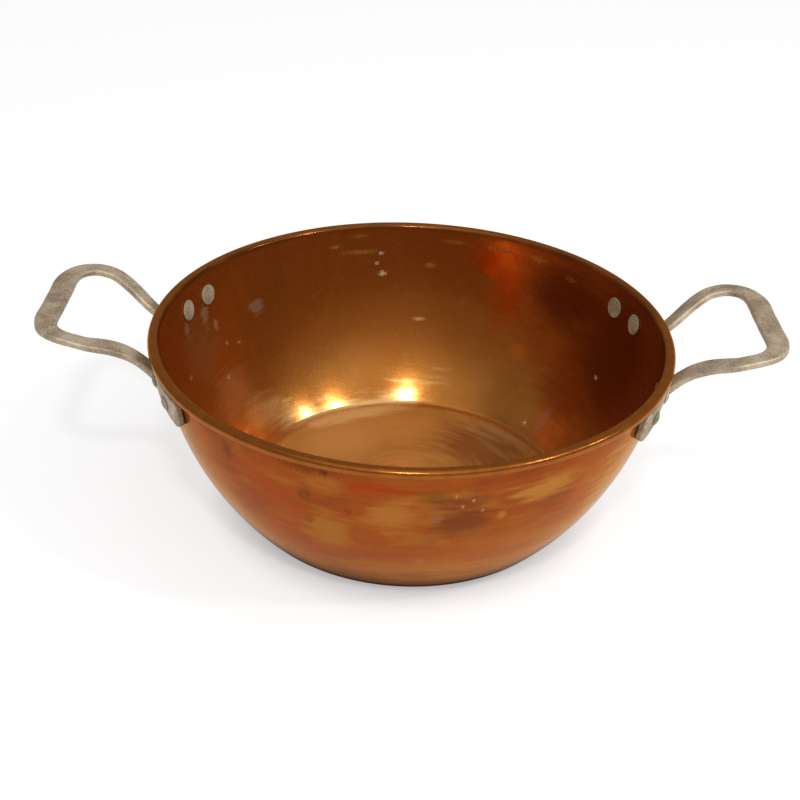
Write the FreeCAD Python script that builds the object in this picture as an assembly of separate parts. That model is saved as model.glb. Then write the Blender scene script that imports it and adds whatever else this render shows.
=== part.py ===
import FreeCAD, Part
import math
import os

from FreeCAD import Vector

# Copper basin: a deep round bowl with its edge rolled into a bead, and two loop handles riveted on.
# Millimetres. The origin is the centre of the flat base, on the surface that the bowl stands on.
# +Z is up, and the handles lie on the X axis.

# Bowl
rim_radius = 160.0           # outside of the rolled rim
bowl_height = 120.0          # underside of the base to the top of the rim
base_corner_radius = 104.0   # where the wall's curve would meet the plane of the base
wall_curve_radius = 195.0    # outer face of the wall, in section
sheet = 1.5                  # thickness of the copper
base_bend = 6.0              # outer bend radius between the base and the wall
curl_width = 7.0             # rolled rim, across
curl_height = 5.5            # rolled rim, top to bottom
curl_seam_gap = 0.3          # between the end of the curl and the wall

# Handles: a flat bar bent into a loop
grip_reach = 63.5            # outside of the rim to the outside of the grip
handle_width = 104.6         # across the outside of the loop
bar_thickness = 4.3
grip_bar = 14.2              # width of the bar along the grip
leg_bar = 11.4               # width of the bar along the legs
grip_rise = 9.8              # top of the rim to the middle of the grip's thickness
waist_reach = 4.2            # outside of the rim to where the legs are closest together
waist_width = 74.5           # across the outside of the legs there
grip_corner = 27.0           # radius round the outside of the loop's corners, in plan
leg_straight = 9.0           # from the end of that corner to where the leg bends inward
leg_bend = 19.5              # radius of that bend, round its outside
waist_bend = 14.0            # radius where the leg bends back at the waist, on its outside
shoulder_reach = 28.0        # outside of the rim to where the legs' slope would meet the level grip
shoulder_bend = 70.0         # bend radius from the slope to the grip
bar_edge = 1.6               # rounding of the bar's edges
root_share = 0.3             # height at which the bar meets the foot, as a share of the foot's
root_depth = 1.5             # that the ends of the bar run into the feet
root_flare = 3.0             # that each side of the bar spreads where it meets the foot
root_run = 11.0              # length of the bar over which it spreads
corner_steps = 2             # sections of the bar along each of its bends

# Feet of the handles, with lengths measured round the outside of the foot
foot_thickness = 4.4
foot_height = 19.0
foot_overlap = 6.8           # that the foot runs on past the inner side of the leg
rivet_to_end = 18.1          # last rivet to the free end of the foot
foot_corner = 6.0            # rounding of the foot's four corners
foot_edge = 1.2              # rounding of the foot's outer edges

# Rivets
rivet_drop = 17.5            # top of the rim down to where the rivets pass through the wall
leg_to_rivet = 8.5           # outer side of the leg to the first rivet
rivet_pitch = 26.4
shank_radius = 2.9
head_radius = 6.75           # flat head inside the bowl
head_thickness = 0.9
head_crown = 0.5
tail_radius = 4.8            # hammered dome outside, on the foot
tail_height = 1.9
hole_clearance = 0.1         # radial, round each shank
seat_clearance = 0.1         # between faces that bear on each other


def polar(centre, radius, degrees):
    """Return the point at an angle on a circle in the XZ section."""
    angle = math.radians(degrees)
    return centre + Vector(radius * math.cos(angle), 0, radius * math.sin(angle))


def section_arc(centre, radius, start, end):
    """Return an arc edge in the XZ section, from one angle to another in degrees."""
    middle = polar(centre, radius, (start + end) / 2)
    return Part.Arc(polar(centre, radius, start), middle, polar(centre, radius, end)).toShape()


def direction_angle(start, end):
    """Return the angle in degrees of the line between two points of the XZ section."""
    return math.degrees(math.atan2(end.z - start.z, end.x - start.x))


def wall_centre_point(corner, corner_distance, curl, curl_distance):
    """Return the point, on the inner side, at given distances from the base corner and the curl."""
    span = curl - corner
    along = (corner_distance ** 2 - curl_distance ** 2 + span.Length ** 2) / (2 * span.Length)
    across = math.sqrt(corner_distance ** 2 - along ** 2)
    unit = Vector(span).normalize()
    return corner + unit * along + Vector(-unit.z, 0, unit.x) * across


def turned(edges, degrees=360):
    """Return the solid made by turning a closed section about the bowl's axis."""
    face = Part.Face(Part.Wire(Part.__sortEdges__(edges)))
    return face.revolve(Vector(0, 0, 0), Vector(0, 0, 1), degrees)


# Section of the bowl
curl_radius = curl_height / 2
curl_bore = curl_radius - sheet
curl_outer_centre = Vector(rim_radius - curl_radius, 0, bowl_height - curl_radius)
curl_inner_centre = curl_outer_centre - Vector(curl_width - curl_height, 0, 0)
wall_centre = wall_centre_point(Vector(base_corner_radius, 0, 0), wall_curve_radius,
                                curl_inner_centre, wall_curve_radius - sheet + curl_radius)
wall_top = direction_angle(wall_centre, curl_inner_centre)
bend_centre_x = wall_centre.x + math.sqrt((wall_curve_radius - base_bend) ** 2
                                          - (base_bend - wall_centre.z) ** 2)
bend_centre = Vector(bend_centre_x, 0, base_bend)
wall_foot = direction_angle(wall_centre, bend_centre)
curl_start = direction_angle(curl_inner_centre, wall_centre)


def wall_angle_at(height):
    """Return the section angle at which the wall's outer face reaches a height."""
    return math.degrees(math.asin((height - wall_centre.z) / wall_curve_radius))


def make_bowl():
    """Return the pressed bowl with its edge rolled outward, before the rivet holes."""
    curl_end = -90 - math.degrees(math.asin((curl_bore - curl_seam_gap) / curl_radius))
    top = Vector(0, 0, curl_radius)
    bore_top = Vector(0, 0, curl_bore)
    inner_wall_radius = wall_curve_radius - sheet
    edges = [
        Part.LineSegment(Vector(0, 0, 0), Vector(bend_centre_x, 0, 0)).toShape(),
        section_arc(bend_centre, base_bend, -90, wall_foot),
        section_arc(wall_centre, wall_curve_radius, wall_foot, wall_top),
        section_arc(curl_inner_centre, curl_bore, curl_start, 90),
        Part.LineSegment(curl_inner_centre + bore_top, curl_outer_centre + bore_top).toShape(),
        section_arc(curl_outer_centre, curl_bore, 90, -90),
        Part.LineSegment(curl_outer_centre - bore_top, curl_inner_centre - bore_top).toShape(),
        section_arc(curl_inner_centre, curl_bore, -90, curl_end),
        Part.LineSegment(polar(curl_inner_centre, curl_bore, curl_end),
                         polar(curl_inner_centre, curl_radius, curl_end)).toShape(),
        section_arc(curl_inner_centre, curl_radius, curl_end, -90),
        Part.LineSegment(curl_inner_centre - top, curl_outer_centre - top).toShape(),
        section_arc(curl_outer_centre, curl_radius, -90, 90),
        Part.LineSegment(curl_outer_centre + top, curl_inner_centre + top).toShape(),
        section_arc(curl_inner_centre, curl_radius, 90, curl_start),
        section_arc(wall_centre, inner_wall_radius, wall_top, wall_foot),
        section_arc(bend_centre, base_bend - sheet, wall_foot, -90),
        Part.LineSegment(Vector(bend_centre_x, 0, sheet), Vector(0, 0, sheet)).toShape(),
        Part.LineSegment(Vector(0, 0, sheet), Vector(0, 0, 0)).toShape(),
    ]
    return turned(edges)


def make_wall_room():
    """Return the space that the handles keep out of: the bowl's wall, filled, with the clearance."""
    reach = wall_curve_radius + seat_clearance
    low = wall_angle_at(base_bend)
    high = wall_top
    edges = [
        section_arc(wall_centre, reach, low, high),
        Part.LineSegment(polar(wall_centre, reach, high),
                         Vector(0, 0, polar(wall_centre, reach, high).z)).toShape(),
        Part.LineSegment(Vector(0, 0, polar(wall_centre, reach, high).z),
                         Vector(0, 0, polar(wall_centre, reach, low).z)).toShape(),
        Part.LineSegment(Vector(0, 0, polar(wall_centre, reach, low).z),
                         polar(wall_centre, reach, low)).toShape(),
    ]
    return turned(edges)


# Section of a foot: a band that lies on the wall
rivet_section_angle = wall_angle_at(bowl_height - rivet_drop)
foot_inner = wall_curve_radius + seat_clearance
foot_outer = foot_inner + foot_thickness
foot_half_angle = math.degrees(foot_height / 2 / wall_curve_radius)
foot_low = rivet_section_angle - foot_half_angle
foot_high = rivet_section_angle + foot_half_angle
foot_radius = polar(wall_centre, foot_outer, rivet_section_angle).x


def round_foot(length):
    """Return the angle in degrees round the bowl that a length along the outside of a foot spans."""
    return math.degrees(length / foot_radius)


def side_angle(side_y):
    """Return the angle in degrees round the bowl at which a side of the leg meets the foot."""
    return math.degrees(math.asin(side_y / foot_radius))


# Places along a foot, from the middle of the handle
leg_outer_y = waist_width / 2
leg_inner_y = leg_outer_y - leg_bar
first_rivet_angle = side_angle(leg_outer_y) + round_foot(leg_to_rivet)
last_rivet_angle = first_rivet_angle + round_foot(rivet_pitch)
foot_start = side_angle(leg_inner_y) - round_foot(foot_overlap)
foot_end = last_rivet_angle + round_foot(rivet_to_end)


def distance_from_wall_centre(face):
    """Return how far the middle of a face lies from the wall's centre, in its own section."""
    low, high, near, far = face.ParameterRange
    point = face.valueAt((low + high) / 2, (near + far) / 2)
    return math.hypot(math.hypot(point.x, point.y) - wall_centre.x, point.z - wall_centre.z)


def make_foot():
    """Return one foot on the +Y side: a curved band with rounded corners and outer edges."""
    edges = [
        section_arc(wall_centre, foot_inner, foot_low, foot_high),
        Part.LineSegment(polar(wall_centre, foot_inner, foot_high),
                         polar(wall_centre, foot_outer, foot_high)).toShape(),
        section_arc(wall_centre, foot_outer, foot_high, foot_low),
        Part.LineSegment(polar(wall_centre, foot_outer, foot_low),
                         polar(wall_centre, foot_inner, foot_low)).toShape(),
    ]
    foot = turned(edges, foot_end - foot_start)
    foot.rotate(Vector(0, 0, 0), Vector(0, 0, 1), foot_start)
    corners = [edge for edge in foot.Edges if isinstance(edge.Curve, Part.Line)]
    foot = foot.makeFillet(foot_corner, corners)
    outer_face = max(foot.Faces, key=distance_from_wall_centre)
    return foot.makeFillet(foot_edge, outer_face.Edges)


# Side view of the bar: level along the grip, then down to the foot
root_point = polar(wall_centre, foot_outer, foot_low + root_share * (foot_high - foot_low))
root_radius = polar(wall_centre, foot_outer, foot_low).x - root_depth
root_x = math.sqrt(root_radius ** 2 - ((leg_outer_y + leg_inner_y) / 2) ** 2)
grip_level = bowl_height + grip_rise
grip_x = rim_radius + grip_reach
shoulder_x = rim_radius + shoulder_reach
leg_slope = math.atan2(grip_level - root_point.z, shoulder_x - root_x)


def bar_level(x):
    """Return the height of the middle of the bar at a distance from the bowl's axis, along X."""
    setback = shoulder_bend * math.tan(leg_slope / 2)
    if x >= shoulder_x + setback:
        return grip_level
    if x <= shoulder_x - setback * math.cos(leg_slope):
        return grip_level - (shoulder_x - x) * math.tan(leg_slope)
    across = shoulder_x + setback - x
    return grip_level - shoulder_bend + math.sqrt(shoulder_bend ** 2 - across ** 2)


def root_vertex(root_y):
    """Return the point in plan at which a side of the bar ends, inside the foot."""
    return Vector(math.sqrt(root_radius ** 2 - root_y ** 2), root_y, 0)


def corner_points(corner, back, ahead, radius):
    """Return points along the arc that rounds a corner of the loop's plan."""
    turn = math.acos(max(-1.0, min(1.0, -back.dot(ahead))))
    setback = radius * math.tan(turn / 2)
    centre = corner + (back + ahead).normalize() * (radius / math.cos(turn / 2))
    first = corner + back * setback - centre
    side = 1 if back.cross(ahead).z < 0 else -1
    points = []
    for step in range(corner_steps + 1):
        spin = FreeCAD.Rotation(Vector(0, 0, 1), side * math.degrees(turn) * step / corner_steps)
        points.append(centre + spin.multVec(first))
    return points


def edge_line(leg_y, flare, outline):
    """Return the points of one side of the bar in plan, from its root to the middle of the grip.

    The root lies aside from the leg by the flare, and the outline gives the corners and their radii.
    """
    grip = Vector(outline[-1][0].x, 0, 0)
    # the flare is a parabola: halfway along the run it has spread by a quarter
    flare_top = root_vertex(leg_y) + Vector(root_run, 0, 0)
    flare_middle = root_vertex(leg_y + flare / 4) + Vector(root_run / 2, 0, 0)
    stops = [flare_top] + [corner for corner, radius in outline] + [grip]
    points = [root_vertex(leg_y + flare), flare_middle]
    for index, (corner, radius) in enumerate(outline):
        back = (stops[index] - corner).normalize()
        ahead = (stops[index + 2] - corner).normalize()
        rounded = corner_points(corner, back, ahead, radius)
        if index:
            points.append((points[-1] + rounded[0]) * 0.5)
        points.extend(rounded)
    points.append((points[-1] + grip) * 0.5)
    points.append(grip)
    return points


def loop_edges():
    """Return the outer and inner sides of half the loop in plan, point beside point."""
    outer_y = handle_width / 2
    waist_x = rim_radius + waist_reach
    bend_x = grip_x - grip_corner - leg_straight
    splay = math.atan2(outer_y - leg_outer_y, bend_x - waist_x)
    mitre = leg_bar * math.tan(splay / 2)
    outer = [
        (Vector(waist_x, leg_outer_y, 0), waist_bend),
        (Vector(bend_x, outer_y, 0), leg_bend),
        (Vector(grip_x, outer_y, 0), grip_corner),
    ]
    inner = [
        (Vector(waist_x + mitre, leg_inner_y, 0), waist_bend + leg_bar),
        (Vector(bend_x + mitre, outer_y - leg_bar, 0), leg_bend - leg_bar),
        (Vector(grip_x - grip_bar, outer_y - leg_bar, 0), grip_corner - grip_bar),
    ]
    return edge_line(leg_outer_y, root_flare, outer), edge_line(leg_inner_y, -root_flare, inner)


def bar_section(outer, inner, ahead):
    """Return the rounded section of the bar between its two edge points."""
    across = (outer - inner).normalize()
    up = across.cross(ahead).normalize()
    if up.z < 0:
        up = up * -1
    half = bar_thickness / 2
    diagonal = bar_edge * (1 - math.sqrt(0.5))
    corners = [(inner, 1, 1), (outer, -1, 1), (outer, -1, -1), (inner, 1, -1)]
    edges = []
    tips = []
    for point, inward, level in corners:
        tip = point + up * (half * level)
        on_face = tip + across * (bar_edge * inward)
        on_side = tip - up * (bar_edge * level)
        middle = tip + across * (diagonal * inward) - up * (diagonal * level)
        edges.append(Part.Arc(on_face, middle, on_side).toShape())
        tips.append((on_face, on_side))
    edges.append(Part.LineSegment(tips[0][0], tips[1][0]).toShape())
    edges.append(Part.LineSegment(tips[1][1], tips[2][1]).toShape())
    edges.append(Part.LineSegment(tips[2][0], tips[3][0]).toShape())
    edges.append(Part.LineSegment(tips[3][1], tips[0][1]).toShape())
    return Part.Wire(Part.__sortEdges__(edges))


def make_loop():
    """Return the bar of the handle without its feet: level at the grip, sloping down to the wall."""
    outer, inner = loop_edges()
    pairs = list(zip(outer, inner))
    pairs += [(Vector(far.x, -far.y, 0), Vector(near.x, -near.y, 0)) for far, near in reversed(pairs[:-1])]
    raised = []
    for far, near in pairs:
        raised.append((Vector(far.x, far.y, bar_level(far.x)),
                       Vector(near.x, near.y, bar_level(near.x))))
    sections = []
    for index, (far, near) in enumerate(raised):
        before = raised[max(index - 1, 0)]
        after = raised[min(index + 1, len(raised) - 1)]
        ahead = (after[0] + after[1] - before[0] - before[1]).normalize()
        sections.append(bar_section(far, near, ahead))
    return Part.makeLoft(sections, True, False)


def make_handle():
    """Return one handle on the +X side, before the rivet holes."""
    bar = make_loop()
    near_foot = make_foot()
    far_foot = near_foot.mirror(Vector(0, 0, 0), Vector(0, 1, 0))
    handle = bar.fuse([near_foot, far_foot]).removeSplitter()
    return handle.cut(make_wall_room())


def rivet_frames():
    """Return the four placements of one handle's rivets, each with X along the shank, outward."""
    on_inner_face = polar(wall_centre, wall_curve_radius - sheet, rivet_section_angle)
    frames = []
    for side in (-1, 1):
        for angle in (first_rivet_angle, last_rivet_angle):
            tilt = FreeCAD.Rotation(Vector(0, -1, 0), rivet_section_angle)
            round_bowl = FreeCAD.Rotation(Vector(0, 0, 1), side * angle)
            place = FreeCAD.Placement(round_bowl.multVec(on_inner_face), round_bowl.multiply(tilt))
            frames.append(place)
    return frames


def cap_arc(rim_x, rim_y, tip_x):
    """Return the arc of a shallow dome about the X axis, from its rim to its tip."""
    height = abs(tip_x - rim_x)
    radius = (rim_y ** 2 + height ** 2) / (2 * height)
    outward = 1 if tip_x > rim_x else -1
    centre_x = tip_x - outward * radius
    half = math.asin(rim_y / radius) / 2
    middle = Vector(centre_x + outward * radius * math.cos(half), radius * math.sin(half), 0)
    return Part.Arc(Vector(rim_x, rim_y, 0), middle, Vector(tip_x, 0, 0)).toShape()


def make_rivet():
    """Return one rivet along +X: flat head inside the bowl, hammered dome on the foot."""
    hollow = head_radius ** 2 / (2 * (rim_radius - curl_width)) + head_radius ** 2 / (2 * wall_curve_radius)
    head_face = -(seat_clearance + hollow)
    head_back = head_face - head_thickness
    head_tip = head_back - head_crown
    tail_face = sheet + seat_clearance + foot_thickness + seat_clearance
    tail_tip = tail_face + tail_height
    outline = [
        cap_arc(head_back, head_radius, head_tip),
        Part.LineSegment(Vector(head_back, head_radius, 0), Vector(head_face, head_radius, 0)).toShape(),
        Part.LineSegment(Vector(head_face, head_radius, 0), Vector(head_face, shank_radius, 0)).toShape(),
        Part.LineSegment(Vector(head_face, shank_radius, 0), Vector(tail_face, shank_radius, 0)).toShape(),
        Part.LineSegment(Vector(tail_face, shank_radius, 0), Vector(tail_face, tail_radius, 0)).toShape(),
        cap_arc(tail_face, tail_radius, tail_tip),
        Part.LineSegment(Vector(tail_tip, 0, 0), Vector(head_tip, 0, 0)).toShape(),
    ]
    face = Part.Face(Part.Wire(Part.__sortEdges__(outline)))
    return face.revolve(Vector(0, 0, 0), Vector(1, 0, 0), 360)


def rivet_holes():
    """Return the drills for one handle's rivet holes, through the wall and the feet."""
    radius = shank_radius + hole_clearance
    depth = sheet + seat_clearance + foot_thickness
    overrun = foot_height / 2
    drills = []
    for frame in rivet_frames():
        drill = Part.makeCylinder(radius, depth + 2 * overrun, Vector(-overrun, 0, 0), Vector(1, 0, 0))
        drill.Placement = frame
        drills.append(drill)
    return drills


def turned_round(shape):
    """Return a copy of a shape on the opposite side of the bowl."""
    copy = shape.copy()
    copy.rotate(Vector(0, 0, 0), Vector(0, 0, 1), 180)
    return copy


def build():
    """Return every node's shape, by its name."""
    right_holes = rivet_holes()
    left_holes = [turned_round(drill) for drill in right_holes]
    bowl = make_bowl().cut(right_holes + left_holes)
    right_handle = make_handle().cut(right_holes)
    rivet = make_rivet()
    right_rivets = []
    for frame in rivet_frames():
        placed = rivet.copy()
        placed.Placement = frame
        right_rivets.append(placed)
    right_group = Part.Compound(right_rivets)
    return {
        "bowl": bowl,
        "right_handle": right_handle,
        "left_handle": turned_round(right_handle),
        "right_handle_rivets": right_group,
        "left_handle_rivets": turned_round(right_group),
    }


os.makedirs("parts", exist_ok=True)
for name, shape in build().items():
    shape.exportStep("parts/" + name + ".step")
    box = shape.BoundBox
    print(name, len(shape.Solids), shape.isValid(), round(shape.Volume), box)
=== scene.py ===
"""Copper basin: a spun bowl with a rolled rim and two riveted loop handles, dressed and lit.

Metres, in the frame's own axes: the origin is the centre of the flat base, +Z is up and the handles lie
on the X axis. Places on the bowl are given as degrees round it, from +X towards +Y, and a height.

An edge is the pair of values between which a mask goes from one end to the other. A Mix node of colours
takes them at its inputs 6 and 7 and gives its output 2; one of numbers takes 2 and 3 and gives 0.
"""

import logging
import math
from dataclasses import dataclass, field
from enum import Enum

import bmesh
import bpy
import numpy as np
from mathutils import Matrix, Vector, noise

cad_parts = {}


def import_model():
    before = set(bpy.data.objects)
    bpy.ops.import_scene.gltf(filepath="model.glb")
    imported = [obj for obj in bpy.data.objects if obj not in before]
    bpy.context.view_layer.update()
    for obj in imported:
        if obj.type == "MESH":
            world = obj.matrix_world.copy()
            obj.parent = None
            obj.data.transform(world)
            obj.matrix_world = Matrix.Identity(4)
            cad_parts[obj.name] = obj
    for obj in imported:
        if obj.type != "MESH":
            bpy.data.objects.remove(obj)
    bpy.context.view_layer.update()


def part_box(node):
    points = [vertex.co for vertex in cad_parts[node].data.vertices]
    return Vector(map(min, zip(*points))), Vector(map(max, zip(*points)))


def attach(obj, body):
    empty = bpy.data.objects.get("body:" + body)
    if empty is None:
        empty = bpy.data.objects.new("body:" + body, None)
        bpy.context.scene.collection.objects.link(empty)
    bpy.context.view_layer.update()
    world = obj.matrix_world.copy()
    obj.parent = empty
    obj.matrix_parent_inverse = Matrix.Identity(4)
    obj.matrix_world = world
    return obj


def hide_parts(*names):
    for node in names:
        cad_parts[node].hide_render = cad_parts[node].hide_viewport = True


log = logging.getLogger("copper_basin")

Socket = bpy.types.NodeSocket
Pair = tuple[float, float]

MM = 0.001
IMAGE_SIZE = 800
BODY = "root"
ON_AXIS = 1e-9
SAME_POINT = 1e-3 * MM

COLOURS = {"data_type": "RGBA"}
NUMBERS = {"data_type": "FLOAT"}
SMOOTH = {"interpolation_type": "SMOOTHSTEP"}
MULTIPLY = {"operation": "MULTIPLY"}
MULTIPLY_ADD = {"operation": "MULTIPLY_ADD"}


class Side(Enum):
    """The two handles."""

    LEFT = "left"
    RIGHT = "right"


def linear(hex_colour: str) -> tuple[float, float, float, float]:
    """Turn an sRGB hex colour into a linear one.

    Args:
        hex_colour: Six hex digits after a hash sign.

    Returns:
        Red, green, blue and an alpha of 1, as the shaders take them.
    """
    channels = []
    for start in (1, 3, 5):
        value = int(hex_colour[start:start + 2], 16) / 255
        channels.append(value / 12.92 if value <= 0.04045 else ((value + 0.055) / 1.055) ** 2.4)
    return channels[0], channels[1], channels[2], 1.0


def smooth_step(low: float, high: float, value: float | np.ndarray) -> float | np.ndarray:
    """Ease from 0 at low to 1 at high.

    Args:
        low: Where the result starts to leave 0.
        high: Where the result reaches 1.
        value: A number or an array of them.

    Returns:
        The eased share, of the same kind as value.
    """
    share = np.clip((value - low) / (high - low), 0, 1)
    return share * share * (3 - 2 * share)


class Nodes:
    """The nodes of a material or of the world, and the coordinates that its patterns are made from."""

    def __init__(self, owner: bpy.types.Material | bpy.types.World, coordinates: str = "Object") -> None:
        """Start with an empty node tree.

        Args:
            owner: The material or the world.
            coordinates: The output of the coordinates node: the piece's own metres, or another.
        """
        owner.use_nodes = True
        self.tree = owner.node_tree
        self.tree.nodes.clear()
        self.place = self.add("TexCoord", output=coordinates)

    def add(
        self, kind: str, settings: dict | None = None, inputs: dict | None = None, output: int | str = 0
    ) -> Socket | None:
        """Add a node with its settings and links.

        Args:
            kind: The node's type name, without the ShaderNode in front.
            settings: Property names of the node and their values.
            inputs: Input names or numbers, each with an output socket to link or a plain value to set.
            output: Name or number of the output to return.

        Returns:
            That output, or None where the node has no outputs.
        """
        node = self.tree.nodes.new("ShaderNode" + kind)
        for name, value in (settings or {}).items():
            setattr(node, name, value)
        for key, value in (inputs or {}).items():
            if isinstance(value, Socket):
                self.tree.links.new(value, node.inputs[key])
            else:
                node.inputs[key].default_value = value
        return node.outputs[output] if node.outputs else None


def even_noise(nodes: Nodes, size: float, detail: float) -> Socket:
    """Add noise that is alike in all directions.

    Args:
        nodes: The material's nodes.
        size: Feature size.
        detail: Octaves of finer detail.

    Returns:
        The noise, from 0 to 1.
    """
    return nodes.add("TexNoise", inputs={"Vector": nodes.place, "Scale": 1 / size, "Detail": detail})


def mapped(value: Socket, source: Pair, result: tuple[float | Socket, float] = (0.0, 1.0)) -> dict:
    """Name the inputs of a MapRange node.

    Args:
        value: The socket that gives the value.
        source: Two values.
        result: What the node gives at them.

    Returns:
        The inputs, for Nodes.add.
    """
    names = ("Value", "From Min", "From Max", "To Min", "To Max")
    return dict(zip(names, (value, *source, *result)))


def placed(name: str, data: bpy.types.ID) -> bpy.types.Object:
    """Put an object in the scene.

    Args:
        name: Its name.
        data: Its mesh, lamp or camera.

    Returns:
        The object.
    """
    made = bpy.data.objects.new(name, data)
    bpy.context.scene.collection.objects.link(made)
    return made


def direction(azimuth: float, elevation: float) -> Vector:
    """Point from the basin to a place in the room.

    Args:
        azimuth: Degrees round the basin, from +X towards +Y.
        elevation: Degrees above the floor.

    Returns:
        The unit vector.
    """
    turn, rise = math.radians(azimuth), math.radians(elevation)
    return Vector((math.cos(turn) * math.cos(rise), math.sin(turn) * math.cos(rise), math.sin(rise)))


@dataclass(frozen=True)
class StainOrPaintedLight:
    """One mark on the copper: a soft patch with a broken edge, a stain or else a patch of painted light or
    shade. Its lengths are in millimetres.

    Attributes:
        angle: Degrees round the bowl of its middle.
        level: Height of its middle.
        wide: Half its width, round the bowl.
        high: Half its height, or half its depth towards the axis on the flat base.
        colour: Hex colour of the metal there.
        strength: Share of that colour at the middle.
        ragged: How far its edge breaks up, as a share of its size.
        hollow: Share of its strength that the middle lacks, as in the ring that a drop leaves.
        dull: Roughness added at the middle.
        radius: Distance of its middle from the axis, given for marks on the flat base.
    """

    angle: float
    level: float
    wide: float
    high: float
    colour: str
    strength: float = 0.8
    ragged: float = 1.1
    hollow: float = 0.0
    dull: float = 0.0
    radius: float | None = None


OUTER_STAINS = (
    StainOrPaintedLight(-133, 98, 18, 20, "#843208", 0.6),
    StainOrPaintedLight(-131, 101, 4, 6, "#4A1E08", 0.6),
    StainOrPaintedLight(-121, 88, 16, 12, "#A03C08", 0.7),
    StainOrPaintedLight(-128, 67, 17, 20, "#8A2E04", 0.8),
    StainOrPaintedLight(-117, 39, 34, 21, "#962E04", 0.75),
    StainOrPaintedLight(-106.1, 102.6, 12, 7, "#A8682A", 0.8),
    StainOrPaintedLight(-111, 110, 20, 4, "#5C2606", 0.6),
    StainOrPaintedLight(-108.2, 64, 15, 19, "#A86A2A", 0.8),
    StainOrPaintedLight(-113.7, 75, 10, 8, "#A03C10", 0.6),
    StainOrPaintedLight(-93.7, 84, 15, 15, "#AE6C2A", 0.9),
    StainOrPaintedLight(-97, 103, 26, 6, "#A03406", 0.8),
    StainOrPaintedLight(-104, 44, 38, 9, "#963C0C", 0.6),
    StainOrPaintedLight(-85, 101, 10, 7, "#7C4812", 0.75),
    StainOrPaintedLight(-79, 81, 19, 16, "#723216", 0.85),
    StainOrPaintedLight(-61.3, 94, 26, 8, "#BC7C38", 0.8),
    StainOrPaintedLight(-70, 58, 34, 16, "#A8561C", 0.5),
    StainOrPaintedLight(-46, 86, 24, 22, "#AC5420", 0.6),
    StainOrPaintedLight(-32, 68, 30, 46, "#BC8450", 0.7, ragged=1.6),
    StainOrPaintedLight(-88, 33, 60, 8, "#A4602C", 0.6),
    StainOrPaintedLight(-112, 90, 4.2, 5, "#58280C", 0.7, hollow=0.5, dull=0.1),
    StainOrPaintedLight(-84.3, 83, 3.4, 5, "#8A6A50", 0.45, hollow=0.5, dull=0.1),
    StainOrPaintedLight(-77.7, 69, 5, 4, "#845C40", 0.4, hollow=0.4, dull=0.1),
    StainOrPaintedLight(-75, 66.5, 2.6, 3, "#845C40", 0.4, dull=0.1),
    StainOrPaintedLight(-70.3, 81, 2.8, 3.4, "#BC7C38", 0.6),
    StainOrPaintedLight(-102.6, 84, 2.6, 3.4, "#6A3412", 0.6, hollow=0.5),
    StainOrPaintedLight(-112, 71.5, 3, 4, "#6A3412", 0.6, hollow=0.5),
    StainOrPaintedLight(-107, 109, 1.8, 1.8, "#3C1A08", 0.7),
    StainOrPaintedLight(-97.4, 50.5, 2, 3, "#744420", 0.5, hollow=0.5),
    StainOrPaintedLight(-86.8, 42, 2.4, 3.2, "#A07850", 0.5, dull=0.1),
    StainOrPaintedLight(-80.7, 99.3, 1, 1.3, "#C88C48", 0.7),
    StainOrPaintedLight(-79.2, 91.4, 0.9, 1.3, "#C88C48", 0.7),
    StainOrPaintedLight(-74.9, 87.4, 1, 1.4, "#C08440", 0.7),
    StainOrPaintedLight(-77.1, 95.3, 0.9, 1.2, "#C88C48", 0.7),
)

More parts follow.
